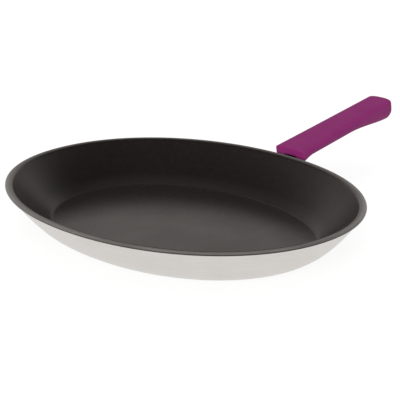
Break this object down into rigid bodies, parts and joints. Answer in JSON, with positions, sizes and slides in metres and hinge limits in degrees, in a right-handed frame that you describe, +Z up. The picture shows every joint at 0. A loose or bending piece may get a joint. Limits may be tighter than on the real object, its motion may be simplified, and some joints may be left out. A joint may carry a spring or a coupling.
{
  "type": "oval frying pan",
  "caption": "Oval non-stick frying pan in pressed aluminium, with a riveted steel strip handle and a pull-off purple silicone grip.",
  "frame": {"origin": "centre of the flat base's underside, which stands on Z = 0", "axes": "+X along the oval's long axis, +Y across it towards the handle, +Z up out of the pan"},
  "size_m": [0.36, 0.4441, 0.0751],
  "materials": {
    "satin_aluminium": "satin, finely brushed",
    "nonstick_coating": "dark non-stick coating, low sheen",
    "brushed_steel": "brushed along the strip",
    "purple_silicone": "matte moulded silicone"
  },
  "bodies": {
    "pan": {"pan_body": "satin_aluminium", "nonstick_coating": "nonstick_coating", "handle_strip": "brushed_steel", "rivet_left": "satin_aluminium", "rivet_right": "satin_aluminium", "rivet_lower": "satin_aluminium"},
    "grip": {"grip_sleeve": "purple_silicone"}
  },
  "joints": [
    {"name": "grip_slide", "type": "slide", "parent": "pan", "child": "grip", "axis": [0, 0.9848, 0.1736], "range_m": [0, 0.14]}
  ]
}
